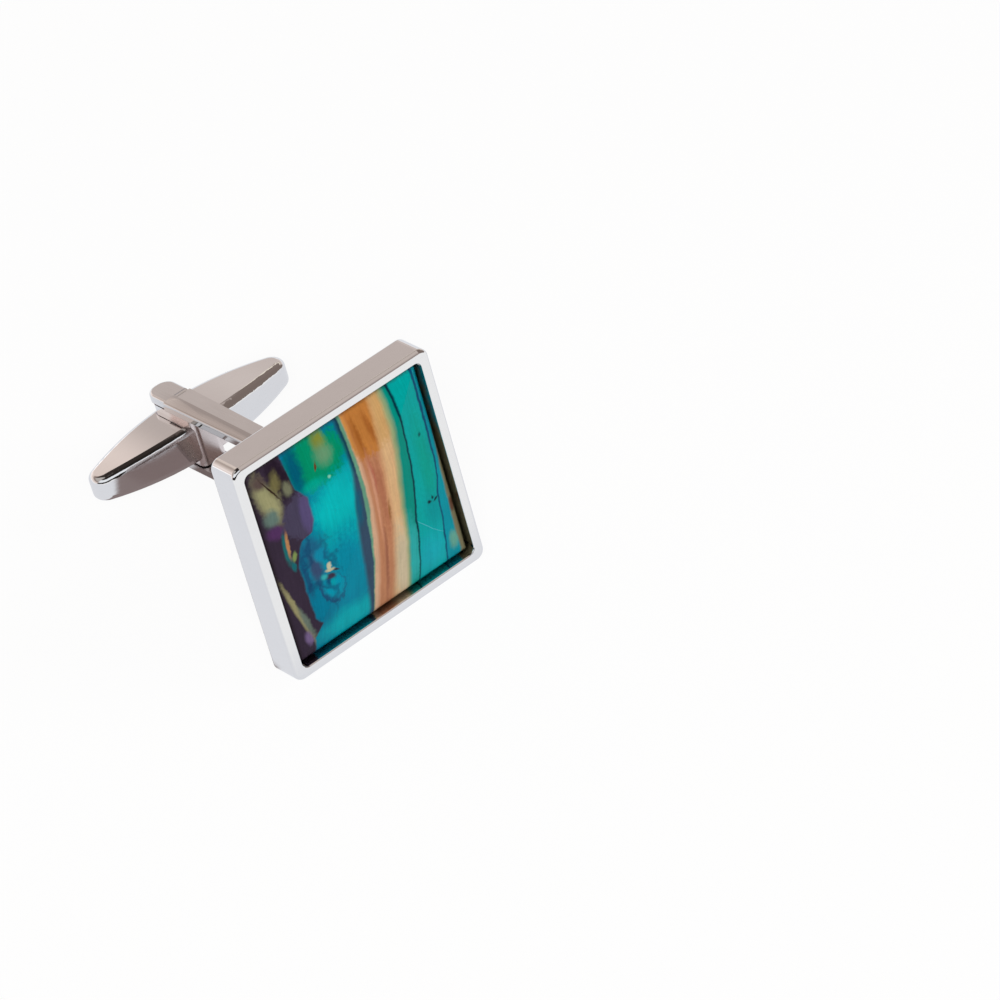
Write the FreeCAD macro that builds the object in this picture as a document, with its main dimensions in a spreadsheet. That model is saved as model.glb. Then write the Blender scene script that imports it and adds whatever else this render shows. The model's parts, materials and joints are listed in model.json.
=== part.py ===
import FreeCAD, Part
import math
import os
import Sketcher
from FreeCAD import Placement, Rotation, Vector

# A cufflink: a square tray with a cushion-shaped inlay, and behind it a forked post
# that carries a swinging bar. Each piece is drawn with the face looking along -Y, the
# post along +Y and the pivot along Z, and is then leaned back as it rests on a table.

doc = FreeCAD.newDocument("Cufflink")
sheet = doc.addObject("Spreadsheet::Sheet", "Sizes")

driving_sizes = {
    # tray
    "face_width": 17.0,
    "face_height": 17.5,
    "bezel_depth": 2.6,
    "rim_width": 0.8,
    "floor_thickness": 0.9,
    "bezel_corner": 0.75,
    "opening_corner": 0.5,
    "rim_outer_round": 0.28,
    "rim_inner_round": 0.1,
    "rest_round": 0.2,
    # inlay and the cement under it
    "inlay_gap": 0.12,
    "cement_thickness": 0.15,
    "inlay_rise": 0.55,
    "inlay_side_drop": 1.0,
    "inlay_shoulder": 0.6,
    # post and its socket in the tray's back
    "arm_foot_width": 1.85,
    "arm_width": 2.4,
    "arm_thickness": 0.72,
    "arm_crown_radius": 8.5,
    "arm_round": 0.2,
    "groove_depth": 0.25,
    "groove_offset": 0.15,
    "bend_radius": 0.45,
    "foot_margin": 0.15,
    "foot_thickness": 1.0,
    "foot_corner": 0.4,
    "socket_depth": 0.45,
    "solder_gap": 0.12,
    "tail_overhang": 2.95,
    "tail_relief": 0.1,
    "tail_shoulder": 0.15,
    "tail_corner": 0.95,
    # pivot and bar
    "pivot_reach": 17.15,
    "pin_radius": 0.36,
    "pin_clearance": 0.04,
    "pin_to_step": 0.1,
    "bar_length": 17.2,
    "bar_width": 4.5,
    "bar_thickness": 3.0,
    "bar_tip_radius": 1.05,
    "bar_crown": 0.57,
    "bar_round": 0.5,
    "hub_width": 2.1,
    "hub_length": 4.7,
    "hub_corner": 0.5,
    "hub_rise": 0.42,
    "swing_gap": 0.1,
}
for row, (alias, size) in enumerate(driving_sizes.items(), start=1):
    sheet.set(f"A{row}", alias)
    sheet.set(f"B{row}", str(size))
    sheet.setAlias(f"B{row}", alias)
doc.recompute()

# Sizes that several pieces share, worked out from the driving ones.
opening_width = "(Sizes.face_width - 2 * Sizes.rim_width)"
opening_height = "(Sizes.face_height - 2 * Sizes.rim_width)"
inlay_width = f"({opening_width} - 2 * Sizes.inlay_gap)"
inlay_height = f"({opening_height} - 2 * Sizes.inlay_gap)"
inlay_corner = "(Sizes.opening_corner - Sizes.inlay_gap)"
inlay_base = "(Sizes.floor_thickness + Sizes.cement_thickness)"
inlay_crest = "(Sizes.bezel_depth + Sizes.inlay_rise)"
inlay_side = "(Sizes.bezel_depth - Sizes.inlay_side_drop)"
hub_top = "(Sizes.bar_thickness / 2 + Sizes.hub_rise)"
arm_inner = f"({hub_top} + Sizes.swing_gap)"
arm_crest = f"({arm_inner} + Sizes.arm_thickness)"
crown_depth = f"(Sizes.arm_crown_radius - {arm_crest})"
tail_outer = f"({arm_crest} - Sizes.tail_relief)"
tail_reach = "(Sizes.pivot_reach + Sizes.tail_overhang)"
tail_width = "(Sizes.arm_width - 2 * Sizes.tail_shoulder)"
step_reach = "(Sizes.pivot_reach + Sizes.pin_radius + Sizes.pin_to_step)"
groove_floor = f"({arm_crest} - Sizes.groove_depth)"
groove_cove = "(Sizes.groove_depth - Sizes.tail_relief)"
foot_width = "(Sizes.arm_foot_width + 2 * Sizes.foot_margin)"
foot_height = f"(2 * {arm_crest} + 2 * Sizes.foot_margin)"
foot_top = "(Sizes.foot_thickness - Sizes.socket_depth)"
socket_width = f"({foot_width} + 2 * Sizes.solder_gap)"
socket_height = f"({foot_height} + 2 * Sizes.solder_gap)"
socket_corner = "(Sizes.foot_corner + Sizes.solder_gap)"

# The cufflink rests on the lower back edge of the tray and on the end of the lower
# arm. Both edges have the same round, so the lean is that of the line between them.
lean = f"atan((Sizes.face_height / 2 - {tail_outer}) / {tail_reach})"
rest_height = (
    f"(Sizes.face_height / 2 - Sizes.rest_round) * cos({lean})"
    f" - Sizes.rest_round * sin({lean}) + Sizes.rest_round"
)
rearmost = (
    f"({tail_reach} - Sizes.rest_round) * cos({lean})"
    f" + ({tail_outer} - Sizes.rest_round) * sin({lean}) + Sizes.rest_round"
)
foremost = (
    f"(Sizes.bezel_depth - Sizes.rim_outer_round) * cos({lean})"
    f" + (Sizes.face_height / 2 - Sizes.rim_outer_round) * sin({lean}) + Sizes.rim_outer_round"
)
rest_centre = f"(({foremost}) - ({rearmost})) / 2"

# The numbers by which a sketch knows its own axes, and the first axis's start as its origin.
across_axis, upright_axis = range(-1, -3, -1)
origin = (across_axis, 1)

touch = 1e-4


def value(expression):
    result = sheet.evalExpression(expression)
    return float(getattr(result, "Value", result))


def new_body(label):
    body = doc.addObject("PartDesign::Body", label)
    body.Label = label
    body.Placement = Placement(Vector(0, 0, 0), Rotation(Vector(-1, 0, 0), 1))
    body.setExpression("Placement.Rotation.Angle", lean)
    body.setExpression("Placement.Base.y", rest_centre)
    body.setExpression("Placement.Base.z", rest_height)
    return body


def origin_plane(body, role):
    return next(feature for feature in body.Origin.OriginFeatures if feature.Role == role)


def new_sketch(body, name, role, lift=None, along=None, turn=0):
    sketch = body.newObject("Sketcher::SketchObject", name)
    sketch.AttachmentSupport = (origin_plane(body, role), [""])
    sketch.MapMode = "FlatFace"
    sketch.AttachmentOffset = Placement(Vector(0, 0, 0), Rotation(Vector(0, 0, 1), turn))
    if lift:
        sketch.setExpression("AttachmentOffset.Base.z", lift)
    if along:
        sketch.setExpression("AttachmentOffset.Base.y", along)
    return sketch


def constrain(sketch, kind, *where, size=None):
    if size is None:
        sketch.addConstraint(Sketcher.Constraint(kind, *where))
        return
    index = sketch.addConstraint(Sketcher.Constraint(kind, *where, value(size)))
    sketch.setExpression(f"Constraints[{index}]", size)


def line(sketch, start, end):
    return sketch.addGeometry(Part.LineSegment(Vector(*start, 0), Vector(*end, 0)))


def arc(sketch, centre, radius, first_degrees, last_degrees):
    circle = Part.Circle(Vector(*centre, 0), Vector(0, 0, 1), radius)
    first = math.radians(first_degrees)
    last = math.radians(last_degrees)
    return sketch.addGeometry(Part.ArcOfCircle(circle, first, last))


def join(sketch, pieces, kind="Coincident"):
    for one, other in zip(pieces, pieces[1:]):
        constrain(sketch, kind, one, 2, other, 1)


def rounded_rectangle(sketch, width, height, corner):
    half_width = value(width) / 2
    half_height = value(height) / 2
    radius = value(corner)
    flat_x = half_width - radius
    flat_y = half_height - radius
    top = line(sketch, (flat_x, half_height), (-flat_x, half_height))
    top_left = arc(sketch, (-flat_x, flat_y), radius, 90, 180)
    left = line(sketch, (-half_width, flat_y), (-half_width, -flat_y))
    low_left = arc(sketch, (-flat_x, -flat_y), radius, 180, 270)
    low = line(sketch, (-flat_x, -half_height), (flat_x, -half_height))
    low_right = arc(sketch, (flat_x, -flat_y), radius, 270, 360)
    right = line(sketch, (half_width, -flat_y), (half_width, flat_y))
    top_right = arc(sketch, (flat_x, flat_y), radius, 0, 90)
    join(sketch, [top, top_left, left, low_left, low, low_right, right, top_right, top], "Tangent")
    constrain(sketch, "Horizontal", top)
    constrain(sketch, "Horizontal", low)
    constrain(sketch, "Vertical", left)
    constrain(sketch, "Vertical", right)
    constrain(sketch, "Equal", top_left, low_left)
    constrain(sketch, "Equal", top_left, low_right)
    constrain(sketch, "Equal", top_left, top_right)
    constrain(sketch, "Radius", top_left, size=corner)
    constrain(sketch, "Symmetric", top_left, 3, low_right, 3, *origin)
    constrain(sketch, "DistanceX", left, 1, right, 1, size=width)
    constrain(sketch, "DistanceY", low, 1, top, 1, size=height)


def centred_circle(sketch, radius):
    circle = sketch.addGeometry(Part.Circle(Vector(0, 0, 0), Vector(0, 0, 1), value(radius)))
    constrain(sketch, "Coincident", circle, 3, *origin)
    constrain(sketch, "Radius", circle, size=radius)


def pad(body, name, sketch, length, reverse=False, symmetric=False):
    feature = body.newObject("PartDesign::Pad", name)
    feature.Profile = sketch
    feature.SideType = "Symmetric" if symmetric else "One side"
    feature.Reversed = reverse
    feature.setExpression("Length", length)
    doc.recompute()
    return feature


def pocket(body, name, sketch, length=None, reverse=False):
    before = body.Shape.Volume
    feature = body.newObject("PartDesign::Pocket", name)
    feature.Profile = sketch
    feature.Reversed = reverse
    if length:
        feature.setExpression("Length", length)
    else:
        feature.Type = "ThroughAll"
        feature.SideType = "Symmetric"
    doc.recompute()
    if body.Shape.Volume > before - touch:
        raise RuntimeError(f"{name} takes nothing away")
    return feature


def mirror_upright(body, name, features):
    mirrored = body.newObject("PartDesign::Mirrored", name)
    mirrored.Originals = features
    mirrored.MirrorPlane = (origin_plane(body, "XY_Plane"), [""])
    body.Tip = mirrored
    doc.recompute()
    return mirrored


def fillet(body, name, radius, wanted):
    base = body.Tip
    chosen = [f"Edge{number}" for number, edge in enumerate(base.Shape.Edges, start=1) if wanted(edge)]
    feature = body.newObject("PartDesign::Fillet", name)
    feature.Base = (base, chosen)
    feature.setExpression("Radius", radius)
    doc.recompute()
    return feature


def edge_points(edge):
    first, last = edge.ParameterRange
    return [edge.valueAt(first), edge.valueAt((first + last) / 2), edge.valueAt(last)]


def is_level(edge, height):
    return all(abs(point.y - height) < touch for point in edge_points(edge))


def is_within(edge, width, height):
    half_width = value(width) / 2 + touch
    half_height = value(height) / 2 + touch
    return all(abs(point.x) < half_width and abs(point.z) < half_height for point in edge_points(edge))


def make_bezel():
    body = new_body("bezel")
    outline = new_sketch(body, "BezelOutline", "XZ_Plane")
    rounded_rectangle(outline, "Sizes.face_width", "Sizes.face_height", "Sizes.bezel_corner")
    pad(body, "BezelBlock", outline, "Sizes.bezel_depth")
    opening = new_sketch(body, "BezelOpening", "XZ_Plane", lift="Sizes.bezel_depth")
    rounded_rectangle(opening, opening_width, opening_height, "Sizes.opening_corner")
    pocket(body, "BezelTray", opening, "Sizes.bezel_depth - Sizes.floor_thickness")
    socket = new_sketch(body, "SocketOutline", "XZ_Plane")
    rounded_rectangle(socket, socket_width, socket_height, socket_corner)
    pocket(body, "PostSocket", socket, "Sizes.socket_depth", reverse=True)

    front = -value("Sizes.bezel_depth")

    def bounds_opening(edge):
        return is_level(edge, front) and is_within(edge, opening_width, opening_height)

    def bounds_face(edge):
        return is_level(edge, front) and not is_within(edge, opening_width, opening_height)

    def bounds_back(edge):
        return is_level(edge, 0) and not is_within(edge, socket_width, socket_height)

    fillet(body, "RimOuterRound", "Sizes.rim_outer_round", bounds_face)
    fillet(body, "RimInnerRound", "Sizes.rim_inner_round", bounds_opening)
    fillet(body, "BackRound", "Sizes.rest_round", bounds_back)
    return body


def barrel_cut(sketch, width):
    # Everything in front of one barrel: a shallow crest that runs into rounded shoulders.
    span = f"({width} / 2 - Sizes.inlay_shoulder)"
    rise = f"({inlay_crest} - {inlay_side})"
    crest_radius = (
        f"(({span} * {span} + {rise} * {rise} - Sizes.inlay_shoulder * Sizes.inlay_shoulder)"
        f" / (2 * ({rise} - Sizes.inlay_shoulder)))"
    )
    outer = f"({width} / 2 + Sizes.rim_width)"
    front = f"({inlay_crest} + Sizes.rim_width)"
    side = value(inlay_side)
    shoulder = value("Sizes.inlay_shoulder")
    radius = value(crest_radius)
    centre_x = value(span)
    edge_x = value(width) / 2
    outer_x = value(outer)
    front_y = value(front)
    turn = math.degrees(math.acos(centre_x / (radius - shoulder)))

    right_shoulder = arc(sketch, (centre_x, side), shoulder, 0, turn)
    crest = arc(sketch, (0, value(inlay_crest) - radius), radius, turn, 180 - turn)
    left_shoulder = arc(sketch, (-centre_x, side), shoulder, 180 - turn, 180)
    left_ledge = line(sketch, (-edge_x, side), (-outer_x, side))
    left_wall = line(sketch, (-outer_x, side), (-outer_x, front_y))
    lid = line(sketch, (-outer_x, front_y), (outer_x, front_y))
    right_wall = line(sketch, (outer_x, front_y), (outer_x, side))
    right_ledge = line(sketch, (outer_x, side), (edge_x, side))
    join(sketch, [right_shoulder, crest, left_shoulder], "Tangent")
    join(sketch, [left_shoulder, left_ledge, left_wall, lid, right_wall, right_ledge, right_shoulder])
    for level in (left_ledge, lid, right_ledge):
        constrain(sketch, "Horizontal", level)
    for upright in (left_wall, right_wall):
        constrain(sketch, "Vertical", upright)
    constrain(sketch, "Horizontal", right_shoulder, 3, right_shoulder, 1)
    constrain(sketch, "Horizontal", left_shoulder, 3, left_shoulder, 2)
    constrain(sketch, "Equal", right_shoulder, left_shoulder)
    constrain(sketch, "Radius", right_shoulder, size="Sizes.inlay_shoulder")
    constrain(sketch, "Radius", crest, size=crest_radius)
    constrain(sketch, "Symmetric", left_shoulder, 2, right_shoulder, 1, upright_axis)
    constrain(sketch, "DistanceX", left_shoulder, 2, right_shoulder, 1, size=width)
    constrain(sketch, "DistanceY", *origin, right_shoulder, 1, size=inlay_side)
    constrain(sketch, "DistanceY", *origin, lid, 1, size=front)
    constrain(sketch, "DistanceX", *origin, lid, 2, size=outer)
    constrain(sketch, "DistanceX", lid, 1, *origin, size=outer)


def make_inlay():
    body = new_body("inlay")
    outline = new_sketch(body, "InlayOutline", "XZ_Plane", lift=inlay_base)
    rounded_rectangle(outline, inlay_width, inlay_height, inlay_corner)
    pad(body, "InlaySlab", outline, f"{inlay_crest} - {inlay_base}")
    level_barrel = new_sketch(body, "LevelBarrel", "YZ_Plane", turn=90)
    barrel_cut(level_barrel, inlay_height)
    pocket(body, "LevelCrown", level_barrel)
    upright_barrel = new_sketch(body, "UprightBarrel", "XY_Plane", turn=180)
    barrel_cut(upright_barrel, inlay_width)
    pocket(body, "UprightCrown", upright_barrel)
    return body


def make_cement_bed():
    body = new_body("cement_bed")
    outline = new_sketch(body, "CementOutline", "XZ_Plane", lift="Sizes.floor_thickness")
    rounded_rectangle(outline, inlay_width, inlay_height, inlay_corner)
    pad(body, "CementLayer", outline, "Sizes.cement_thickness")
    return body


def arm_section(sketch, width):
    # Flat inside, straight sides, and a shallow crown between two rounded long edges.
    radius = value("Sizes.arm_round")
    crown_radius = value("Sizes.arm_crown_radius")
    half = value(width) / 2
    inner_y = value(arm_inner)
    centre_y = -value(crown_depth)
    round_x = half - radius
    turn = math.degrees(math.acos(round_x / (crown_radius - radius)))
    side_y = centre_y + (crown_radius - radius) * math.sin(math.radians(turn))

    inner = line(sketch, (-half, inner_y), (half, inner_y))
    right_side = line(sketch, (half, inner_y), (half, side_y))
    right_round = arc(sketch, (round_x, side_y), radius, 0, turn)
    crown = arc(sketch, (0, centre_y), crown_radius, turn, 180 - turn)
    left_round = arc(sketch, (-round_x, side_y), radius, 180 - turn, 180)
    left_side = line(sketch, (-half, side_y), (-half, inner_y))
    join(sketch, [left_side, inner, right_side])
    join(sketch, [right_side, right_round, crown, left_round, left_side], "Tangent")
    constrain(sketch, "Vertical", right_side)
    constrain(sketch, "Vertical", left_side)
    constrain(sketch, "Symmetric", inner, 1, inner, 2, upright_axis)
    constrain(sketch, "DistanceX", inner, 1, inner, 2, size=width)
    constrain(sketch, "DistanceY", *origin, inner, 1, size=arm_inner)
    constrain(sketch, "PointOnObject", crown, 3, upright_axis)
    constrain(sketch, "DistanceY", crown, 3, *origin, size=crown_depth)
    constrain(sketch, "Radius", crown, size="Sizes.arm_crown_radius")
    constrain(sketch, "Equal", right_round, left_round)
    constrain(sketch, "Radius", right_round, size="Sizes.arm_round")


def tail_outline(sketch):
    # A flat tongue from the step to the end of the arm, with rounded corners.
    half = value(tail_width) / 2
    start = value(step_reach)
    end = value(tail_reach)
    corner = value("Sizes.tail_corner")
    root = line(sketch, (-half, start), (half, start))
    right_side = line(sketch, (half, start), (half, end - corner))
    right_corner = arc(sketch, (half - corner, end - corner), corner, 0, 90)
    tip = line(sketch, (half - corner, end), (corner - half, end))
    left_corner = arc(sketch, (corner - half, end - corner), corner, 90, 180)
    left_side = line(sketch, (-half, end - corner), (-half, start))
    join(sketch, [left_side, root, right_side])
    join(sketch, [right_side, right_corner, tip, left_corner, left_side], "Tangent")
    constrain(sketch, "Vertical", right_side)
    constrain(sketch, "Vertical", left_side)
    constrain(sketch, "Horizontal", tip)
    constrain(sketch, "Symmetric", root, 1, root, 2, upright_axis)
    constrain(sketch, "DistanceX", root, 1, root, 2, size=tail_width)
    constrain(sketch, "DistanceY", *origin, root, 1, size=step_reach)
    constrain(sketch, "DistanceY", *origin, tip, 1, size=tail_reach)
    constrain(sketch, "Equal", right_corner, left_corner)
    constrain(sketch, "Radius", right_corner, size="Sizes.tail_corner")


def cut_grooves(body):
    # A shallow groove along one side of each arm, which runs out in a cove at the tail.
    sketch = new_sketch(body, "GrooveSide", "YZ_Plane", lift="-Sizes.groove_offset")
    start_reach = f"({foot_top} + Sizes.bend_radius)"
    start = value(start_reach)
    floor_level = value(groove_floor)
    step = value(step_reach)
    radius = value(groove_cove)
    lid_level = value(arm_crest) + value("Sizes.groove_depth")
    floor = line(sketch, (start, floor_level), (step, floor_level))
    cove = arc(sketch, (step, floor_level + radius), radius, 270, 360)
    end = line(sketch, (step + radius, floor_level + radius), (step + radius, lid_level))
    lid = line(sketch, (step + radius, lid_level), (start, lid_level))
    back = line(sketch, (start, lid_level), (start, floor_level))
    join(sketch, [floor, cove, end], "Tangent")
    join(sketch, [end, lid, back, floor])
    constrain(sketch, "Horizontal", floor)
    constrain(sketch, "Vertical", end)
    constrain(sketch, "Horizontal", lid)
    constrain(sketch, "Vertical", back)
    constrain(sketch, "Radius", cove, size=groove_cove)
    constrain(sketch, "DistanceX", *origin, floor, 1, size=start_reach)
    constrain(sketch, "DistanceX", *origin, floor, 2, size=step_reach)
    constrain(sketch, "DistanceY", *origin, floor, 1, size=groove_floor)
    constrain(sketch, "DistanceY", *origin, lid, 1, size=f"{arm_crest} + Sizes.groove_depth")
    groove = pocket(body, "Groove", sketch, "Sizes.arm_width", reverse=True)
    mirror_upright(body, "BothGrooves", [groove])


def make_post_yoke():
    body = new_body("post_yoke")
    foot = new_sketch(body, "FootOutline", "XZ_Plane", lift="Sizes.socket_depth")
    rounded_rectangle(foot, foot_width, foot_height, "Sizes.foot_corner")
    pad(body, "Foot", foot, "Sizes.foot_thickness", reverse=True)
    root_section = new_sketch(body, "ArmRoot", "XZ_Plane")
    arm_section(root_section, "Sizes.arm_foot_width")
    step_section = new_sketch(body, "ArmStep", "XZ_Plane", lift=f"-{step_reach}")
    arm_section(step_section, "Sizes.arm_width")
    arm = body.newObject("PartDesign::AdditiveLoft", "Arm")
    arm.Profile = root_section
    arm.Sections = [step_section]
    arm.Ruled = True
    doc.recompute()
    tongue = new_sketch(body, "TailOutline", "XY_Plane", lift=arm_inner)
    tail_outline(tongue)
    tail = pad(body, "Tail", tongue, f"{tail_outer} - {arm_inner}")
    mirror_upright(body, "BothArms", [arm, tail])

    step = value(step_reach)
    tail_height = value(tail_outer)
    inside_bend = value(arm_inner)
    bend_level = value(foot_top)

    def bounds_tail(edge):
        points = edge_points(edge)
        return points[1].y > step + touch and all(abs(abs(p.z) - tail_height) < touch for p in points)

    def bounds_bend(edge):
        flat = all(abs(abs(point.z) - inside_bend) < touch for point in edge_points(edge))
        return flat and is_level(edge, bend_level)

    fillet(body, "TailRound", "Sizes.rest_round", bounds_tail)
    fillet(body, "BendRound", "Sizes.bend_radius", bounds_bend)
    bore = new_sketch(body, "PinBore", "XY_Plane", along="Sizes.pivot_reach")
    centred_circle(bore, "Sizes.pin_radius")
    pocket(body, "PinHoles", bore)
    cut_grooves(body)
    return body


def make_solder_ring():
    body = new_body("solder_ring")
    seam = new_sketch(body, "SeamOutline", "XZ_Plane")
    rounded_rectangle(seam, socket_width, socket_height, socket_corner)
    rounded_rectangle(seam, foot_width, foot_height, "Sizes.foot_corner")
    pad(body, "Seam", seam, "Sizes.socket_depth")
    return body


def crowned_blank(sketch, half_width):
    # The crowns of both arms across the pin, so that the pin's ends are dressed flush;
    # the arms' grooves are cut across it later.
    radius = value("Sizes.arm_crown_radius")
    depth = value(crown_depth)
    side_x = value(half_width)
    turn = math.degrees(math.acos(side_x / radius))
    side_y = radius * math.sin(math.radians(turn)) - depth
    top = arc(sketch, (0, -depth), radius, turn, 180 - turn)
    left = line(sketch, (-side_x, side_y), (-side_x, -side_y))
    low = arc(sketch, (0, depth), radius, 180 + turn, 360 - turn)
    right = line(sketch, (side_x, -side_y), (side_x, side_y))
    join(sketch, [top, left, low, right, top])
    constrain(sketch, "Vertical", left)
    constrain(sketch, "Vertical", right)
    constrain(sketch, "DistanceX", *origin, right, 1, size=half_width)
    constrain(sketch, "DistanceX", left, 1, *origin, size=half_width)
    constrain(sketch, "PointOnObject", top, 3, upright_axis)
    constrain(sketch, "PointOnObject", low, 3, upright_axis)
    constrain(sketch, "DistanceY", top, 3, *origin, size=crown_depth)
    constrain(sketch, "DistanceY", *origin, low, 3, size=crown_depth)
    constrain(sketch, "Equal", top, low)
    constrain(sketch, "Radius", top, size="Sizes.arm_crown_radius")


def make_pivot_pin():
    body = new_body("pivot_pin")
    blank = new_sketch(body, "PinBlank", "XZ_Plane", lift="-Sizes.pivot_reach")
    crowned_blank(blank, "(2 * Sizes.pin_radius)")
    pad(body, "Blank", blank, "4 * Sizes.pin_radius", symmetric=True)
    waste = new_sketch(body, "PinTurning", "XY_Plane", along="Sizes.pivot_reach")
    rounded_rectangle(waste, "6 * Sizes.pin_radius", "6 * Sizes.pin_radius", "Sizes.pin_radius")
    centred_circle(waste, "Sizes.pin_radius")
    pocket(body, "Shank", waste)
    cut_grooves(body)
    return body


def bar_outline(sketch):
    # Two long arcs that meet in small round tips.
    tip_place = "(Sizes.bar_length / 2 - Sizes.bar_tip_radius)"
    belly = "(Sizes.bar_width / 2 - Sizes.bar_tip_radius)"
    side_radius = f"(({tip_place} * {tip_place} + {belly} * {belly}) / (2 * {belly}) + Sizes.bar_tip_radius)"
    tip_x = value(tip_place)
    tip_radius = value("Sizes.bar_tip_radius")
    radius = value(side_radius)
    centre_y = radius - value("Sizes.bar_width") / 2
    turn = math.degrees(math.atan2(centre_y, tip_x))
    right_tip = arc(sketch, (tip_x, 0), tip_radius, -turn, turn)
    far_side = arc(sketch, (0, -centre_y), radius, turn, 180 - turn)
    left_tip = arc(sketch, (-tip_x, 0), tip_radius, 180 - turn, 180 + turn)
    near_side = arc(sketch, (0, centre_y), radius, 180 + turn, 360 - turn)
    join(sketch, [right_tip, far_side, left_tip, near_side, right_tip], "Tangent")
    constrain(sketch, "PointOnObject", right_tip, 3, across_axis)
    constrain(sketch, "PointOnObject", left_tip, 3, across_axis)
    constrain(sketch, "DistanceX", *origin, right_tip, 3, size=tip_place)
    constrain(sketch, "DistanceX", left_tip, 3, *origin, size=tip_place)
    constrain(sketch, "Equal", right_tip, left_tip)
    constrain(sketch, "Radius", right_tip, size="Sizes.bar_tip_radius")
    constrain(sketch, "Equal", far_side, near_side)
    constrain(sketch, "Radius", far_side, size=side_radius)


def crown_cut(sketch):
    # What lies above the bar's crowned top, which falls away towards both tips.
    half_length = "(Sizes.bar_length / 2)"
    crown_radius = (
        f"(({half_length} * {half_length} + Sizes.bar_crown * Sizes.bar_crown) / (2 * Sizes.bar_crown))"
    )
    reach = f"({half_length} + Sizes.bar_round)"
    lid_height = "(Sizes.bar_thickness / 2 + Sizes.bar_round)"
    radius = value(crown_radius)
    reach_x = value(reach)
    lid_y = value(lid_height)
    centre_y = value("Sizes.bar_thickness") / 2 - radius
    end_y = centre_y + math.sqrt(radius**2 - reach_x**2)
    turn = math.degrees(math.acos(reach_x / radius))
    crown = arc(sketch, (0, centre_y), radius, turn, 180 - turn)
    left_wall = line(sketch, (-reach_x, end_y), (-reach_x, lid_y))
    lid = line(sketch, (-reach_x, lid_y), (reach_x, lid_y))
    right_wall = line(sketch, (reach_x, lid_y), (reach_x, end_y))
    join(sketch, [crown, left_wall, lid, right_wall, crown])
    constrain(sketch, "Vertical", left_wall)
    constrain(sketch, "Vertical", right_wall)
    constrain(sketch, "Horizontal", lid)
    constrain(sketch, "PointOnObject", crown, 3, upright_axis)
    constrain(sketch, "Radius", crown, size=crown_radius)
    constrain(sketch, "DistanceY", crown, 3, *origin, size=f"{crown_radius} - Sizes.bar_thickness / 2")
    constrain(sketch, "DistanceX", *origin, lid, 2, size=reach)
    constrain(sketch, "DistanceX", lid, 1, *origin, size=reach)
    constrain(sketch, "DistanceY", *origin, lid, 2, size=lid_height)


def make_toggle_bar():
    body = new_body("toggle_bar")
    outline = new_sketch(body, "BarOutline", "XY_Plane", along="Sizes.pivot_reach")
    bar_outline(outline)
    pad(body, "BarBlank", outline, "Sizes.bar_thickness", symmetric=True)
    crown = new_sketch(body, "BarCrown", "XZ_Plane", lift="-Sizes.pivot_reach")
    crown_cut(crown)
    top = pocket(body, "TopCrown", crown)
    mirror_upright(body, "BothCrowns", [top])

    def is_upright(edge):
        start, middle, end = edge_points(edge)
        return math.hypot(end.x - start.x, end.y - start.y) < touch

    fillet(body, "BarRound", "Sizes.bar_round", lambda edge: not is_upright(edge))
    hub = new_sketch(body, "HubOutline", "XY_Plane", along="Sizes.pivot_reach")
    rounded_rectangle(hub, "Sizes.hub_width", "Sizes.hub_length", "Sizes.hub_corner")
    pad(body, "Hub", hub, f"2 * {hub_top}", symmetric=True)
    bore = new_sketch(body, "BarBore", "XY_Plane", along="Sizes.pivot_reach")
    centred_circle(bore, "Sizes.pin_radius + Sizes.pin_clearance")
    pocket(body, "PivotHole", bore)
    return body


pieces = [
    make_bezel(),
    make_inlay(),
    make_cement_bed(),
    make_post_yoke(),
    make_solder_ring(),
    make_pivot_pin(),
    make_toggle_bar(),
]
doc.recompute()

for item in doc.Objects:
    if "Invalid" in item.State or "Error" in item.State:
        raise RuntimeError(f"{item.Label} did not build: {item.State}")
for piece in pieces:
    if piece.Shape.isNull() or not piece.Shape.isValid() or len(piece.Shape.Solids) != 1:
        raise RuntimeError(f"{piece.Label} is not one valid solid")

os.makedirs("parts", exist_ok=True)
for piece in pieces:
    piece.Shape.exportStep(f"parts/{piece.Label}.step")
    print(f"{piece.Label}: {piece.Shape.Volume:.2f} cubic mm")
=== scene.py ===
import json
import math

import bpy
from mathutils import Matrix, Vector


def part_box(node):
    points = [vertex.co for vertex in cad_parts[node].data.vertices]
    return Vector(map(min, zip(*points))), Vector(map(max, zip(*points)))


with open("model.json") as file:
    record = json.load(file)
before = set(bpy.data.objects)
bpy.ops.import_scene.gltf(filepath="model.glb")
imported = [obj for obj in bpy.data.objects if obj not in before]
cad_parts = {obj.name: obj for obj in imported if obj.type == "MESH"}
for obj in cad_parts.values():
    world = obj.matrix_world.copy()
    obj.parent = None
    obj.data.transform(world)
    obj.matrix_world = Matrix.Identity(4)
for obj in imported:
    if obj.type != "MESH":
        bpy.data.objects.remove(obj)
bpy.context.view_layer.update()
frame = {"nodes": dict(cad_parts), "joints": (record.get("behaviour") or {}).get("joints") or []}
nodes = frame["nodes"]
print("frame loaded:", ", ".join(sorted(nodes)))

mm = 0.001
hinge = frame["joints"][0]
lean = math.atan2(hinge["axis"][1], hinge["axis"][2])  # how far the face leans back
bezelLow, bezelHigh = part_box("bezel")
faceCentre = (bezelLow + bezelHigh) / 2

scene = bpy.context.scene
scene.view_settings.view_transform = "Standard"


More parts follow.
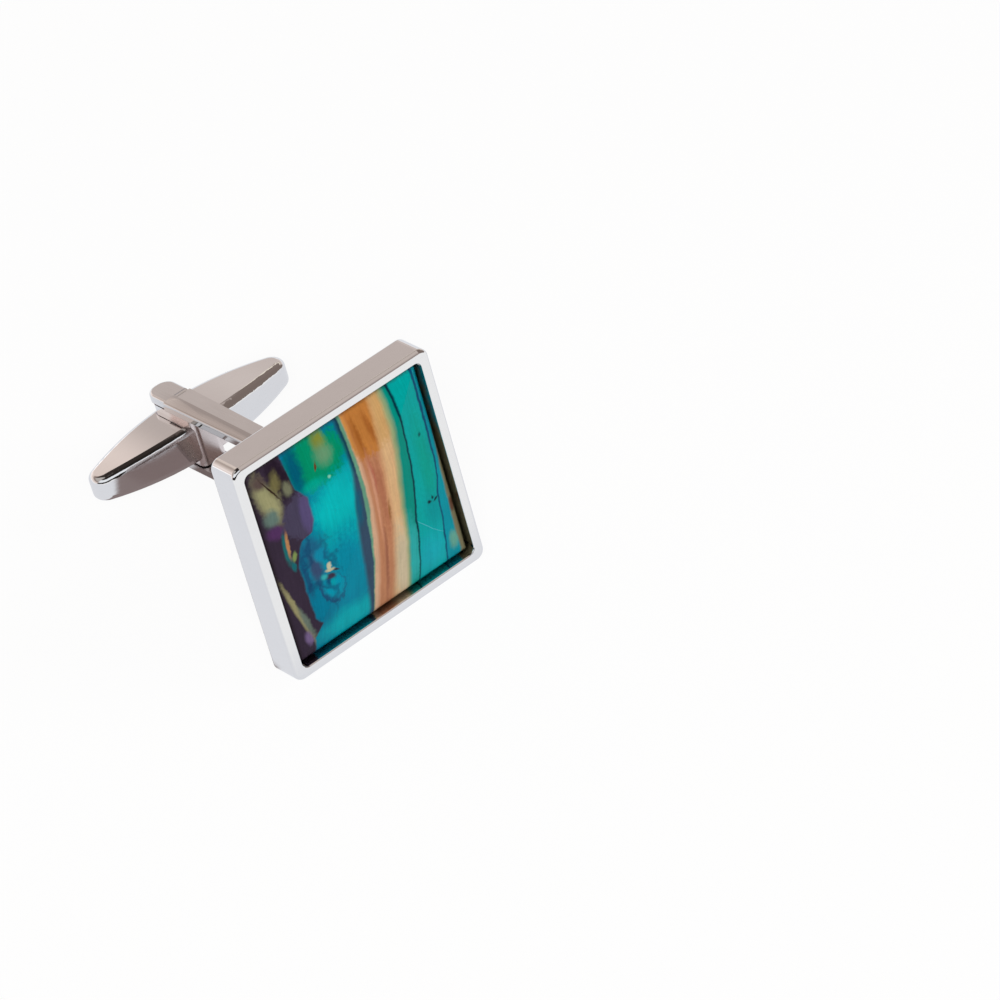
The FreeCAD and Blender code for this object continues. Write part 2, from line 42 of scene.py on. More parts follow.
class Wire:
    # a socket in a node tree; sums written with it add Math nodes
    def __init__(self, tree, socket=None):
        self.tree = tree
        self.socket = socket

    def node(self, kind, settings=None, inputs=None, output=0):
        made = self.tree.nodes.new(kind)
        for name, setting in (settings or {}).items():
            if name == "stops":
                fillRamp(made.color_ramp, setting)
            else:
                setattr(made, name, setting)
        for name, value in (inputs or {}).items():
            if isinstance(value, Wire):
                self.tree.links.new(value.socket, made.inputs[name])
            else:
                made.inputs[name].default_value = value
        return Wire(self.tree, made.outputs[output])

    def maths(self, operation, *values):
        return self.node("ShaderNodeMath", {"operation": operation}, dict(enumerate(values)))

    def __add__(self, other):
        return self.maths("ADD", self, other)

    __radd__ = __add__

    def __sub__(self, other):
        return self.maths("SUBTRACT", self, other)

    def __rsub__(self, other):
        return self.maths("SUBTRACT", other, self)

    def __mul__(self, other):
        return self.maths("MULTIPLY", self, other)

    __rmul__ = __mul__

    def __truediv__(self, other):
        return self.maths("DIVIDE", self, other)

    def __abs__(self):
        return self.maths("ABSOLUTE", self)

    def soft(self, start, full):  # 0 at start, 1 at full, smooth between; start may be above full
        inputs = {"Value": self, "From Min": start, "From Max": full}
        return self.node("ShaderNodeMapRange", {"interpolation_type": "SMOOTHSTEP"}, inputs)

    def blend(self, one, other):  # from one colour to another by this value
        inputs = {0: self, 6: one, 7: other}  # the Mix node's colours are its sockets 6 and 7
        return self.node("ShaderNodeMix", {"data_type": "RGBA"}, inputs, output=2)

    def mixed(self, other, share):  # this colour, with a share of another over it
        return share.blend(self, other)

    def scaled(self, factor):
        return self.node("ShaderNodeVectorMath", {"operation": "SCALE"}, {0: self, "Scale": factor})

    def into(self, shader, name):
        self.tree.links.new(self.socket, shader.inputs[name])


def fillRamp(ramp, stops):
    while len(ramp.elements) < len(stops):
        ramp.elements.new(1.0)
    for element, (place, colour) in zip(ramp.elements, stops):
        element.position = place
        element.color = colour


def srgb(red, green, blue):
    def linear(level):
        share = level / 255
        return share / 12.92 if share <= 0.04045 else ((share + 0.055) / 1.055) ** 2.4

    return (linear(red), linear(green), linear(blue), 1.0)


def newMaterial(name):
    material = bpy.data.materials.new(name)
    material.use_nodes = True
    shader = material.node_tree.nodes["Principled BSDF"]
    return material, shader, Wire(material.node_tree)


def onFace(wire):
    # millimetres across, behind and up the face, from its centre
    turned = Matrix.Rotation(lean, 3, "X") @ faceCentre
    inputs = {
        "Vector": wire.node("ShaderNodeTexCoord", output="Object"),
        "Location": tuple(-turned / mm),
        "Rotation": (lean, 0, 0),
        "Scale": (1 / mm,) * 3,
    }
    return wire.node("ShaderNodeMapping", {"vector_type": "POINT"}, inputs)


def axisOf(point, axis):
    return point.node("ShaderNodeSeparateXYZ", None, {"Vector": point}, output=axis)


def stretched(point, factors):
    return point.node("ShaderNodeVectorMath", {"operation": "MULTIPLY"}, {0: point, 1: factors})


def noise(point, size, detail=3.0, roughness=0.5):
    inputs = {"Vector": point, "Scale": 1 / size, "Detail": detail, "Roughness": roughness}
    return point.node("ShaderNodeTexNoise", None, inputs)


def dress(nodeName, material):
    mesh = nodes[nodeName].data
    mesh.materials.clear()
    mesh.materials.append(material)


# plated metal, one finish for each piece; sizes in millimetres
bezelFinish = {
    "tint": (0.82, 0.825, 0.835),
    "gloss": 0.05,
    "glossSpread": 0.06,
    "cloudSize": 2.2,
    "cloudShare": 0.4,
    "streak": 0.95,
    "lay": (0.6, 0.6, 4.0),  # polishing marks run along the axis with a small factor
    "laySize": 0.5,
    "layShare": 0.6,
    "layDepth": 0.0008,
    "pitSize": 0.35,
    "pitSpan": (0.62, 0.8),
    "pitDepth": 0.0003,
    "dullAndShaded": ("Y", -10.0, 11.26, 11.30),  # axis, middle, and where the plating turns dull and takes a painted shade
    # colour of the painted shade in the dull span
    "paintedShadeTint": (0.40, 0.35, 0.34),
    "dullRoughness": 0.2,
}
yokeFinish = {
    **bezelFinish,
    "gloss": 0.06,
    "streak": 0.84,
    "lay": (5.0, 0.25, 5.0),
    "layDepth": 0.001,
    # painted shade with duller plating on the fork's inside faces
    "dullAndShaded": ("Z", 0.0, 2.08, 2.03),
    "paintedShadeTint": (0.56, 0.48, 0.47),
    "shadeLeft": (-0.10, -0.20),  # painted shade: the arm's left side, darker towards the tray
    "shadeLeftReach": (20.6, 16.4),
    "shadeLeftTint": (0.45, 0.42, 0.41),
    "shadeLeftShare": 0.6,
}
barFinish = {
    **bezelFinish,
    "gloss": 0.045,
    "lay": (0.25, 4.0, 4.0),
    # painted shade with duller plating on the hub between the arms
    "dullAndShaded": ("X", 0.0, 1.60, 1.20),
    "dullAndShadedReach": (18.9, 18.3),
    "paintedShadeTint": (0.80, 0.735, 0.725),
}
pinFinish = {**yokeFinish, "lay": (3.0, 3.0, 0.4)}


def platedMetal(name, finish):
    material, shader, wire = newMaterial(name)
    point = onFace(wire)
    clouds = noise(point, finish["cloudSize"])
    lay = noise(stretched(point, finish["lay"]), finish["laySize"], detail=2.0)
    pits = noise(point, finish["pitSize"], detail=1.0).soft(*finish["pitSpan"])
    roughness = finish["gloss"] + finish["glossSpread"] * clouds * lay
    bright = (*finish["tint"], 1.0)
    dull = tuple(level * finish["streak"] for level in finish["tint"]) + (1.0,)
    worn = finish["cloudShare"] * clouds + finish["layShare"] * lay
    tone = worn.blend(bright, dull)
    # duller plating with a painted shade: a darker tint as well as more roughness inside this span
    axis, middle, start, full = finish["dullAndShaded"]
    dullAndShaded = abs(axisOf(point, axis) - middle).soft(start, full)
    if "dullAndShadedReach" in finish:
        dullAndShaded = dullAndShaded * axisOf(point, "Y").soft(*finish["dullAndShadedReach"])
    tone = tone.mixed((*finish["paintedShadeTint"], 1.0), dullAndShaded)
    roughness = roughness + finish["dullRoughness"] * dullAndShaded
    # painted shade: the arm's left side darker towards the tray
    if "shadeLeft" in finish:
        left = axisOf(point, "X").soft(*finish["shadeLeft"])
        left = left * axisOf(point, "Y").soft(*finish["shadeLeftReach"])
        tone = tone.mixed((*finish["shadeLeftTint"], 1.0), finish["shadeLeftShare"] * left)
    tone.into(shader, "Base Color")
    roughness.into(shader, "Roughness")
    shader.inputs["Metallic"].default_value = 1.0
    height = finish["layDepth"] * lay - finish["pitDepth"] * pits
    bump = wire.node("ShaderNodeBump", None, {"Height": height, "Distance": mm, "Strength": 1.0})
    bump.into(shader, "Normal")
    return material


dress("bezel", platedMetal("bezelPlating", bezelFinish))
dress("post_yoke", platedMetal("yokePlating", yokeFinish))
dress("toggle_bar", platedMetal("barPlating", barFinish))
dress("pivot_pin", platedMetal("pinPlating", pinFinish))
print("metal pieces dressed")

# inlay of dyed, resin-bound stems, from left to right; places are millimetres up and across
# the face, a stem's edge is its left one from the top down, and a stain has its place across
# and up, half lengths, turn in degrees, blur and dye
darkStem = {
    "dye": (48, 38, 52),
    "stains": [
        ((-5.2, 6.2), (0.8, 1.6), 0, 0.4, (34, 24, 36)),
        ((-6.35, 5.1), (0.66, 1.8), -12, 0.6, (140, 138, 100)),
        ((-6.6, 6.7), (0.5, 0.5), 0, 0.6, (80, 66, 62)),
        ((-5.6, 6.1), (0.36, 0.7), 20, 0.7, (100, 94, 60)),
        # painted reflection: the next thin dark diagonal is the line a corner ridge shows in the
        # shine
        ((-6.02, 5.9), (0.06, 1.15), -24, 0.6, (40, 24, 18)),
        ((-6.5, 3.7), (0.5, 0.6), 0, 0.6, (88, 108, 100)),
        ((-4.85, 5.3), (0.34, 0.46), 0, 0.6, (104, 106, 84)),
        ((-6.5, 2.6), (0.6, 0.5), 0, 0.6, (74, 44, 84)),
        ((-4.6, 2.9), (1.25, 1.75), 0, 0.15, (62, 56, 76)),
        ((-4.1, 2.9), (0.5, 1.5), 0, 0.4, (76, 66, 102)),
        ((-6.15, 1.1), (0.22, 1.2), 4, 0.4, (26, 92, 94)),
        ((-6.0, 1.3), (0.12, 0.9), 5, 0.5, (166, 116, 76)),
        ((-5.78, 0.25), (0.15, 0.4), 20, 0.5, (112, 130, 74)),
        ((-6.0, -0.45), (0.18, 0.35), 0, 0.5, (20, 92, 98)),
        ((-6.72, -3.9), (0.17, 2.5), -12, 0.6, (134, 128, 92)),
        ((-6.3, -5.0), (0.2, 1.2), -12, 0.7, (90, 102, 92)),
        ((-6.5, -6.2), (0.24, 0.5), 0, 0.6, (104, 86, 122)),
    ],
}
blueStem = {
    "edge": [
        (7.5, -4.45), (5, -4.35), (4, -3.72), (2.2, -3.75), (1.4, -4.1), (1.1, -5.0),
        (0.4, -5.35), (-0.6, -5.65), (-2.5, -5.7), (-5, -5.62), (-5.6, -5.2), (-6.5, -6.1),
    ],
    "soft": 0.12,
    "dye": (0, 106, 132),
    "stains": [
        ((-1.2, 1.0), (2.6, 4.4), 6, 0.5, (0, 154, 158)),
        ((-2.1, -2.8), (1.9, 2.9), 4, 0.6, (0, 121, 144)),
        ((-2.6, -6.7), (2.8, 1.1), 0, 0.6, (0, 147, 156)),
        ((-1.9, 2.4), (1.5, 1.2), 0, 0.7, (0, 166, 168)),
        ((-4.5, 0.2), (0.9, 0.9), 0, 0.6, (22, 86, 116)),
        ((-4.6, -1.4), (0.45, 1.0), 0, 0.6, (48, 68, 98)),
        ((-5.4, -1.8), (0.2, 1.6), 0, 0.7, (18, 70, 100)),
        ((-4.0, -0.55), (0.55, 0.5), 0, 0.4, (10, 120, 146)),
        ((-2.1, 6.0), (2.5, 1.75), 0, 0.22, (0, 128, 92)),
        ((-3.9, 6.0), (0.55, 1.8), 4, 0.7, (0, 82, 104)),
        ((-2.9, 4.5), (0.8, 0.35), 0, 0.7, (0, 146, 126)),
        ((-1.4, 6.95), (0.5, 0.7), 0, 0.7, (116, 124, 50)),
        ((-1.45, 6.0), (0.6, 0.65), 0, 0.8, (92, 136, 100)),
        ((-2.3, 5.6), (0.09, 0.32), 24, 0.5, (92, 54, 30)),
        ((-1.65, 4.4), (0.11, 0.12), 0, 0.6, (110, 176, 150)),
        ((-3.85, -3.3), (0.92, 1.34), -12, 0.16, (24, 60, 96)),
        ((-3.78, -3.2), (0.76, 1.14), -12, 0.3, (0, 132, 154)),
        ((-3.9, -2.75), (0.34, 0.4), 20, 0.5, (10, 74, 106)),
        ((-3.75, -3.0), (0.2, 0.3), 10, 0.6, (0, 140, 152)),
        ((-3.85, -2.45), (0.42, 0.2), 14, 0.5, (52, 44, 60)),
        ((-3.3, -2.15), (0.3, 0.1), 24, 0.5, (44, 48, 62)),
        ((-3.7, -1.98), (0.36, 0.13), 6, 0.4, (168, 164, 134)),
        ((-3.7, -1.68), (0.17, 0.3), 8, 0.4, (176, 172, 144)),
        ((-4.25, -2.3), (0.24, 0.2), 20, 0.6, (44, 150, 152)),
    ],
}
navyStem = {
    "edge": [
        (7.5, 0.28), (5, 0.26), (3.5, 0.04), (2, -0.36), (1, -0.6),
        (0, -0.8), (-1.5, -1.0), (-4, -1.15), (-7.5, -1.3),
    ],
    "soft": 0.24,
    "dye": (46, 66, 86),
    "stains": [
        ((0.35, 6.0), (0.4, 2.2), 0, 0.5, (4, 52, 70)),
        ((-0.4, 1.2), (0.3, 1.2), 8, 0.8, (18, 82, 104)),
    ],
}
greenEdge = {
    "edge": [
        (7.5, 0.50), (4.5, 0.44), (3, 0.34), (1.5, 0.2), (0, 0.0),
        (-2, -0.2), (-4, -0.46), (-6, -0.8), (-7.5, -1.0),
    ],
    "soft": 0.08,
    "dye": (88, 136, 112),
}
woodStem = {
    "edge": [
        (7.5, 0.76), (4, 0.7), (2, 0.58), (0.8, 0.48), (0, 0.3),
        (-1, 0.12), (-2, -0.02), (-4, -0.34), (-6, -0.72), (-7.5, -0.94),
    ],
    "soft": 0.1,
    "dye": (188, 150, 122),
    "stains": [((1.2, 6.2), (0.6, 2.2), 0, 0.3, (180, 122, 60))],
}
woodHeart = {
    "edge": [(7.5, 1.05), (4, 1.0), (1, 0.76), (-2, 0.38), (-5, -0.1), (-7.5, -0.55)],
    "soft": 0.22,
    "dye": (168, 114, 82),
    "stains": [
        ((2.1, 6.6), (2.5, 2.8), 0, 0.12, (172, 110, 52)),
        ((1.45, 5.4), (0.18, 1.5), -2, 0.8, (144, 84, 34)),
        ((1.15, 5.6), (0.14, 1.7), 0, 0.8, (156, 96, 46)),
        ((2.5, 5.6), (0.2, 1.1), -6, 0.8, (150, 88, 38)),
        ((1.9, -0.5), (0.12, 0.75), 14, 0.7, (122, 68, 30)),
        ((1.45, 2.6), (0.2, 1.3), 4, 0.8, (156, 92, 72)),
        ((0.7, -4.2), (0.13, 3.0), 8, 0.8, (142, 90, 68)),
        ((1.7, 0.8), (0.2, 2.4), 6, 0.8, (154, 98, 72)),
        ((1.15, 1.0), (0.12, 2.6), 6, 0.8, (184, 132, 104)),
    ],
}
khakiEdge = {
    "edge": [(7.5, 3.3), (5, 2.9), (3, 2.45), (0, 2.15), (-3, 1.65), (-5, 1.35), (-7.5, 0.9)],
    "soft": 0.4,
    "dye": (194, 157, 114),
    "stains": [
        ((3.2, 6.6), (1.3, 2.4), 0, 0.3, (186, 146, 94)),
        ((2.1, -5.2), (1.0, 3.0), 6, 0.6, (184, 169, 140)),
    ],
}
mossEdge = {
    "edge": [
        (7.5, 4.05), (5, 3.9), (3, 3.6), (1, 3.2),
        (-1, 2.85), (-3, 2.62), (-5, 2.4), (-7.5, 2.1),
    ],
    "soft": 0.24,
    "dye": (132, 148, 108),
}
deepEdge = {
    "edge": [
        (7.5, 4.4), (5, 4.3), (3, 4.0), (1, 3.6),
        (-1, 3.15), (-3, 2.88), (-5, 2.68), (-7.5, 2.36),
    ],
    "soft": 0.24,
    "dye": (0, 126, 112),
    "stains": [((2.9, -5.0), (0.6, 2.4), 6, 0.7, (40, 156, 154))],
}
firstSeam = {
    "edge": [
        (7.5, 4.76), (5, 4.84), (3, 4.76), (1, 4.56), (0, 4.36),
        (-1.5, 3.98), (-2.5, 3.68), (-4, 3.5), (-6, 3.3), (-7.5, 3.1),
    ],
    "soft": 0.07,
    "dye": (2, 44, 58),
}
rightStem = {
    "edge": [
        (7.5, 4.98), (5, 5.04), (3, 4.92), (1, 4.74), (0, 4.54),
        (-1.5, 4.16), (-2.5, 3.88), (-4, 3.64), (-6, 3.42), (-7.5, 3.22),
    ],
    "soft": 0.09,
    "dye": (0, 148, 144),
    "stains": [
        ((5.95, 0.8), (0.6, 3.4), 3, 0.8, (0, 144, 130)),
        ((5.5, -3.0), (0.8, 1.2), 0, 0.8, (0, 137, 140)),
        ((4.5, -5.9), (1.4, 1.6), 0, 0.8, (14, 152, 162)),
        ((5.35, -2.15), (0.2, 0.12), 20, 0.5, (6, 34, 48)),
        ((5.72, -2.0), (0.1, 0.16), 0, 0.5, (4, 28, 40)),
        ((5.95, -2.3), (0.26, 0.1), -20, 0.5, (6, 34, 48)),
        ((6.15, 2.9), (0.13, 0.2), 20, 0.6, (0, 84, 84)),
        ((5.9, -5.1), (0.16, 0.4), 20, 0.6, (4, 60, 70)),
        ((4.6, -3.7), (0.03, 1.9), -42, 0.8, (60, 158, 170)),
    ],
}
secondSeam = {
    "edge": [
        (7.5, 6.86), (5, 6.88), (3, 6.86), (0, 6.72), (-1, 6.56),
        (-1.9, 6.22), (-3, 6.06), (-4.2, 5.96), (-5.4, 5.7), (-7.5, 5.6),
    ],
    "soft": 0.07,
    "dye": (6, 66, 98),
}
outerStem = {
    "edge": [
        (7.5, 7.08), (5, 7.1), (3, 7.06), (0, 6.88), (-1, 6.72),
        (-1.9, 6.38), (-3, 6.2), (-4.2, 6.1), (-5.4, 5.84), (-7.5, 5.74),
    ],
    "soft": 0.08,
    "dye": (0, 134, 148),
    "stains": [((6.5, -6.2), (0.4, 0.6), 0, 0.6, (90, 150, 134))],
}
barkEdge = {
    "edge": [(7.5, 7.6), (3, 7.5), (1, 7.3), (-1, 7.1), (-4, 6.95), (-6, 6.85), (-7.5, 6.95)],
    "soft": 0.14,
    "dye": (112, 106, 78),
    "stains": [((7.15, -3.7), (0.3, 0.5), 0, 0.5, (92, 62, 44))],
}
inlayLook = {
    "stems": [
        darkStem, blueStem, navyStem, greenEdge, woodStem, woodHeart, khakiEdge,
        mossEdge, deepEdge, firstSeam, rightStem, secondSeam, outerStem, barkEdge,
    ],
    "grainStem": woodStem,  # the fibres run along this one's edge
    "reach": 8.0,
    "driftStretch": (0.7, 0.0, 0.7),
    "driftSize": 1.0,
    "wander": 0.30,
    "raggedStretch": (1.0, 0.0, 1.0),
    "raggedSize": 0.28,
    "ragged": 0.12,
    "blotRagged": 0.8,
    "fibreSize": 0.14,
    "fibreRun": 0.05,
    "fibreShare": 0.40,
    "cloudStretch": (1.0, 0.0, 0.4),
    "cloudSize": 1.4,
    "cloudRagged": 0.7,
    "cloudShare": 0.30,
    "shadeEdge": (7.42, 7.66),  # painted shade: dark beyond this, to the left and at the top, where the inlay meets the rim
    "shadeEdgeColour": (34, 27, 25),
    "shadeEdgeSpan": (-0.3, 0.1),
    "shadeEdgeRagged": 0.3,
    "shadeEdgeShare": 0.7,
    "veinStem": blueStem,
    "veinPlace": ((-4.4, -1.6), (1.5, 3.4), 0, 0.4),
    "veinDye": (14, 56, 90),
    "veinSize": 2.6,
    "veinWidth": 0.06,
    "veinShare": 0.6,
    "roughness": 0.34,
    "fibreRoughness": 0.2,
    "polish": {
        "Specular IOR Level": 0.0,
        "Coat Weight": 1.0,
        "Coat Roughness": 0.02,
        "Coat IOR": 1.12,
    },
}


def makeInlay(look):
    material, shader, wire = newMaterial("dyedStems")
    point = onFace(wire)
    reach = look["reach"]
    drift = noise(stretched(point, look["driftStretch"]), look["driftSize"], detail=4.0) - 0.5
    ragged = noise(stretched(point, look["raggedStretch"]), look["raggedSize"]) - 0.5
    up = axisOf(point, "Z") + look["wander"] * drift
    across = axisOf(point, "X") + look["wander"] * drift + look["ragged"] * ragged
    flat = wire.node("ShaderNodeCombineXYZ", None, {"X": across, "Z": up})
    height = (up + reach) / (2 * reach)

    def edgeAt(pairs):  # a ramp over the height holds the edge's place across as a grey
        shares = [((z + reach) / (2 * reach), (x + reach) / (2 * reach)) for z, x in sorted(pairs)]
        stops = [(place, (grey, grey, grey, 1.0)) for place, grey in shares]
        ramp = wire.node("ShaderNodeValToRGB", {"stops": stops}, {"Fac": height})
        return ramp * (2 * reach) - reach

    def blot(place, size, turn, blur):
        inputs = {
            "Vector": flat,
            "Location": (place[0], 0, place[1]),
            "Rotation": (0, math.radians(turn), 0),
            "Scale": (size[0], 1, size[1]),
        }
        near = wire.node("ShaderNodeMapping", {"vector_type": "TEXTURE"}, inputs)
        far = wire.node("ShaderNodeVectorMath", {"operation": "LENGTH"}, {0: near}, output="Value")
        far = far + look["blotRagged"] * ragged + look["blotRagged"] * drift
        return 1 - far.soft(1 - blur, 1 + blur)

    tone = wire.node("ShaderNodeRGB")
    tone.socket.default_value = srgb(*look["stems"][0]["dye"])
    inside = 1.0
    for stem in look["stems"]:
        if "edge" in stem:
            inside = (across - edgeAt(stem["edge"])).soft(-stem["soft"], stem["soft"])
            tone = tone.mixed(srgb(*stem["dye"]), inside)
        for place, size, turn, blur, dye in stem.get("stains", []):
            tone = tone.mixed(srgb(*dye), inside * blot(place, size, turn, blur))
        if stem is look["veinStem"]:
            vein = noise(flat, look["veinSize"]) - 0.5
            vein = abs(vein).soft(look["veinWidth"], 0.0) * blot(*look["veinPlace"])
            tone = tone.mixed(srgb(*look["veinDye"]), look["veinShare"] * vein * inside)

    # painted shade along the inlay's left and top edges, where it meets the rim
    side, top = look["shadeEdge"]
    past = wire.maths("MAXIMUM", -side - axisOf(point, "X"), axisOf(point, "Z") - top)
    edgeShade = (past + look["shadeEdgeRagged"] * ragged).soft(*look["shadeEdgeSpan"])
    tone = tone.mixed(srgb(*look["shadeEdgeColour"]), look["shadeEdgeShare"] * edgeShade)

    grain = across - edgeAt(look["grainStem"]["edge"])
    along = wire.node("ShaderNodeCombineXYZ", None, {"X": grain, "Z": look["fibreRun"] * up})
    fibre = noise(along, look["fibreSize"], roughness=0.6)
    cloud = noise(stretched(point, look["cloudStretch"]), look["cloudSize"])
    cloud = cloud + look["cloudRagged"] * ragged
    shade = 1 + look["fibreShare"] * (fibre - 0.5) + look["cloudShare"] * (cloud - 0.5)
    tone.scaled(shade).into(shader, "Base Color")
    (look["roughness"] + look["fibreRoughness"] * fibre).into(shader, "Roughness")
    for name, value in look["polish"].items():
        shader.inputs[name].default_value = value
    return material


dress("inlay", makeInlay(inlayLook))

cementLook = {
    "pale": (0.78, 0.73, 0.62, 1.0),
    "deep": (0.58, 0.52, 0.42, 1.0),
    "grainSize": 0.4,
    "depth": 0.02,
    "metallic": 0.0,
    "gloss": 0.7,
    "glossSpread": 0.2,
}
solderLook = {
    "pale": (0.58, 0.58, 0.57, 1.0),
    "deep": (0.36, 0.35, 0.34, 1.0),
    "grainSize": 0.25,
    "depth": 0.015,
    "metallic": 1.0,
    "gloss": 0.3,
    "glossSpread": 0.2,
}


def grainyStuff(name, look):
    material, shader, wire = newMaterial(name)
    grain = noise(onFace(wire), look["grainSize"], detail=5.0, roughness=0.6)
    grain.blend(look["deep"], look["pale"]).into(shader, "Base Color")
    (look["gloss"] + look["glossSpread"] * grain).into(shader, "Roughness")
    shader.inputs["Metallic"].default_value = look["metallic"]
    height = look["depth"] * grain
    bump = wire.node("ShaderNodeBump", None, {"Height": height, "Distance": mm, "Strength": 1.0})
    bump.into(shader, "Normal")
    return material


dress("cement_bed", grainyStuff("curedCement", cementLook))
dress("solder_ring", grainyStuff("dullSolder", solderLook))
print("inlay, cement and solder dressed")

# the table is white to the camera and in the metal; in the metal a painted shade makes it greyer
# towards the rear, and brown between tray and bar; places in millimetres
floorLook = {
    "span": 6.0,
    "colour": (0.86, 0.86, 0.86, 1.0),
    "roughness": 0.8,
    "specular": 0.1,
    "glow": 0.92,
    "mirrored": 0.92,
    "white": (1.0, 1.0, 1.0, 1.0),
    "rear": (0.84, 0.85, 0.89, 1.0),
    "rearSpan": (-25.0, -12.0),
    "shade": (0.23, 0.17, 0.165, 1.0),
    "shadeAcross": (-8.4, 1.8),
    "shadeDeep": (-9.6, 8.0),
    "shadeBlur": 0.8,
}


def makeFloor(look):
    bpy.ops.object.select_all(action="DESELECT")
    bpy.ops.mesh.primitive_plane_add(size=look["span"], location=(0, 0, 0))
    floor = bpy.context.object
    floor.name = "floor"
    material, shader, wire = newMaterial("paleTable")
    shader.inputs["Base Color"].default_value = look["colour"]
    shader.inputs["Roughness"].default_value = look["roughness"]
    shader.inputs["Specular IOR Level"].default_value = look["specular"]
    place = wire.node("ShaderNodeTexCoord", output="Object").scaled(1 / mm)
    blur = look["shadeBlur"]
    shaded = 1.0
    for axis, (low, high) in (("X", look["shadeAcross"]), ("Y", look["shadeDeep"])):
        along = axisOf(place, axis)
        shaded = shaded * along.soft(low - blur, low) * along.soft(high + blur, high)
    direct = wire.node("ShaderNodeLightPath", output="Is Camera Ray")
    mirrored = wire.node("ShaderNodeLightPath", output="Is Glossy Ray")
    through = wire.node("ShaderNodeLightPath", output="Is Transmission Ray")
    share = direct * look["glow"] + (mirrored + through) * look["mirrored"]
    # painted shade in the metal: the table's glow turns greyer towards the rear and brown in the
    # shaded patch
    rear = axisOf(place, "Y").soft(*look["rearSpan"])
    layers = [(look["rear"], rear), (look["shade"], shaded)]
    glow = wire.node("ShaderNodeEmission", None, {"Color": look["white"], "Strength": 1.0})
    for colour, mask in layers:
        over = wire.node("ShaderNodeEmission", None, {"Color": colour, "Strength": 1.0})
        glow = wire.node("ShaderNodeMixShader", None, {0: mask * (1 - direct), 1: glow, 2: over})
    lit = Wire(wire.tree, shader.outputs[0])
    both = wire.node("ShaderNodeMixShader", None, {0: share, 1: lit, 2: glow})
    both.into(wire.tree.nodes["Material Output"], "Surface")
    floor.data.materials.append(material)


makeFloor(floorLook)

# what the polished metal sees: a span is in height, as the sine of the angle above the table,
# and a side is the same towards the right
roomLook = {
    "unlit": (0.022, 0.017, 0.015, 1.0),
    "low": (0.98, 0.96, 0.96, 1.0),
    "wallLow": (0.70, 0.61, 0.57, 1.0),
    "wall": (0.595, 0.507, 0.47, 1.0),
    "wallTop": (0.44, 0.365, 0.325, 1.0),
    "brown": (0.22, 0.17, 0.15, 1.0),
    "cream": (0.95, 0.86, 0.74, 1.0),
    "screen": (0.95, 0.97, 1.0, 1.0),
    "high": (0.36, 0.33, 0.31, 1.0),
    "white": (1.0, 1.0, 1.0, 1.0),
    "rearSpan": (-0.15, 0.15),
    "highSide": (-0.06, -0.26),
    "highSpan": (0.44, 0.62),
    "wallStops": [
        (0.02, "low"), (0.12, "wall"), (0.22, "wallLow"),
        (0.29, "wall"), (0.38, "wallTop"), (0.44, "brown"),
    ],
    "wallGain": 0.86,
    "gainAcross": 0.3,
    "gainLeft": 0.75,
    "gainSide": (0.36, 0.27),
    "creamSpan": (0.38, 0.40, 0.46, 0.48),  # start, full, fade and end
    "creamSide": (0.05, 0.25),
    "screenSpan": (0.36, 0.40, 0.79, 0.84),
    "screenSide": (0.26, 0.42),
    "glimmerLow": (0.36, 0.295, 0.275, 1.0),
    "glimmerHigh": (0.62, 0.53, 0.485, 1.0),
    "glimmerSide": (0.35, 0.39, 0.47, 0.53),
    "glimmerSpan": (0.35, 0.86),
}


def band(value, start, full, fade, end):
    return value.soft(start, full) * value.soft(end, fade)


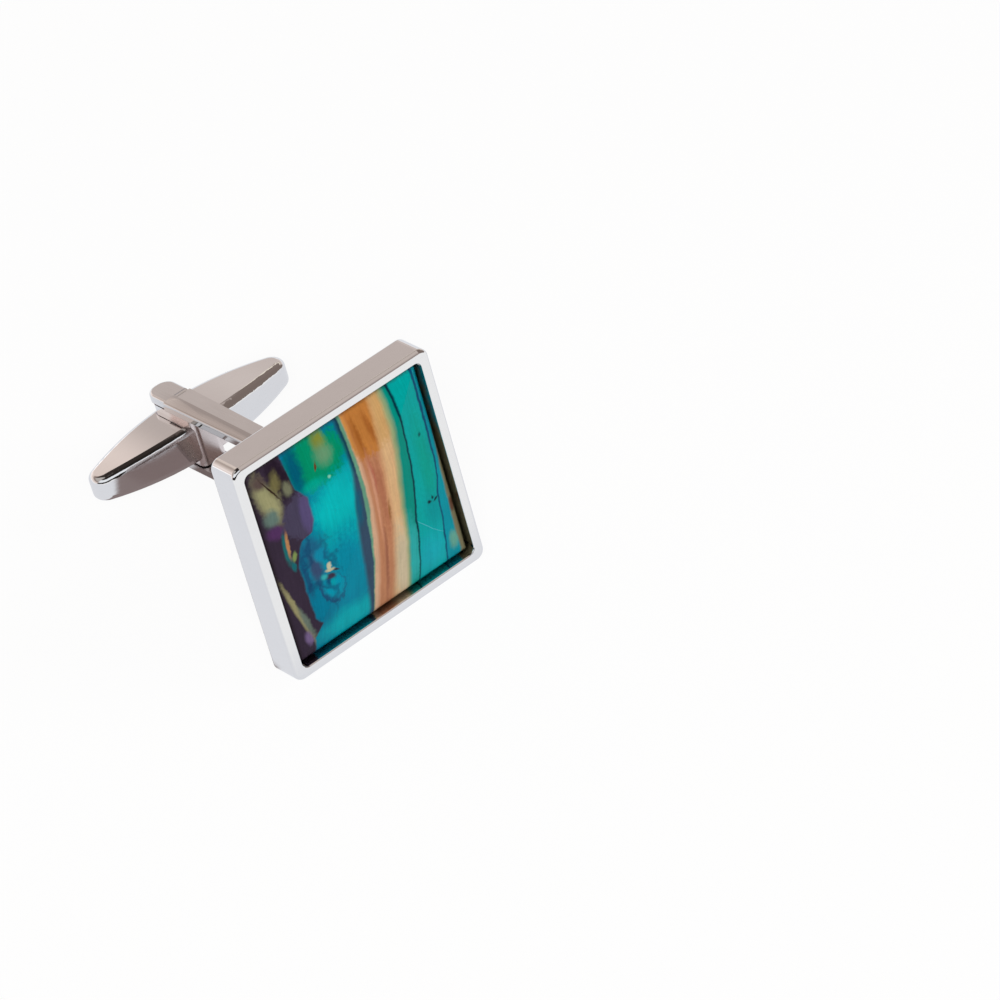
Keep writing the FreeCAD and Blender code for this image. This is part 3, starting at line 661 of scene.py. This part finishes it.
def makeRoom(look):
    world = bpy.data.worlds.new("studio")
    scene.world = world
    world.use_nodes = True
    backdrop = world.node_tree.nodes["Background"]
    wire = Wire(world.node_tree)
    way = wire.node("ShaderNodeTexCoord", output="Generated")
    across = axisOf(way, "X")
    up = axisOf(way, "Z")
    right = across.soft(*look["screenSide"])
    glimmer = up.soft(*look["glimmerSpan"]).blend(look["glimmerLow"], look["glimmerHigh"])
    side = right.blend(look["unlit"], look["brown"])
    side = side.mixed(glimmer, band(across, *look["glimmerSide"]))
    ceiling = side.mixed(look["high"], across.soft(*look["highSide"]))

    stops = [(height, look[tone]) for height, tone in look["wallStops"]]
    wall = wire.node("ShaderNodeValToRGB", {"stops": stops}, {"Fac": up})
    wall = wall.mixed(ceiling, up.soft(*look["highSpan"]))
    gain = look["wallGain"] + look["gainAcross"] * across
    wall = wall.scaled(gain + look["gainLeft"] * across.soft(*look["gainSide"]))
    strip = band(up, *look["creamSpan"]) * across.soft(*look["creamSide"])
    wall = wall.mixed(look["cream"], strip)

    screen = band(up, *look["screenSpan"]) * (1 - right)
    front = side.mixed(look["screen"], screen)
    rear = axisOf(way, "Y").soft(*look["rearSpan"])
    direct = wire.node("ShaderNodeLightPath", output="Is Camera Ray")
    room = front.mixed(wall, rear).mixed(look["white"], direct)
    room.into(backdrop, "Color")
    backdrop.inputs["Strength"].default_value = 1.0


makeRoom(roomLook)

lampSet = {
    "key": {"place": (-0.28, -0.34, 0.42), "size": 0.20, "power": 2.25},
    "fill": {"place": (0.42, -0.30, 0.30), "size": 0.30, "power": 0.9},
    "top": {"place": (0.05, 0.20, 0.60), "size": 0.35, "power": 0.3},
}


def makeLamps(lamps):
    for name, lamp in lamps.items():
        light = bpy.data.lights.new(name, "AREA")
        light.shape = "SQUARE"
        light.size = lamp["size"]
        light.energy = lamp["power"]
        holder = bpy.data.objects.new(name, light)
        scene.collection.objects.link(holder)
        holder.location = lamp["place"]
        holder.rotation_euler = (-Vector(lamp["place"])).to_track_quat("-Z", "Y").to_euler()
        holder.visible_camera = False
        holder.visible_glossy = False


makeLamps(lampSet)
print("stage lit")

cameraSet = {
    "place": Vector((-0.132151, -0.182476, 0.244121)),
    "aim": Vector((0.009914, -0.012556, 0.005230)),
    "roll": math.radians(2.9141),
    "lens": 172.26,
    "sensor": 36.0,
    "near": 0.01,
}


def makeCamera(look):
    lens = bpy.data.cameras.new("camera")
    lens.lens = look["lens"]
    lens.sensor_width = look["sensor"]
    lens.clip_start = look["near"]
    holder = bpy.data.objects.new("camera", lens)
    scene.collection.objects.link(holder)
    turn = (look["aim"] - look["place"]).to_track_quat("-Z", "Y").to_matrix()
    turn = turn @ Matrix.Rotation(-look["roll"], 3, "Z")
    holder.matrix_world = Matrix.Translation(look["place"]) @ turn.to_4x4()
    scene.camera = holder


makeCamera(cameraSet)

print("scene ready")
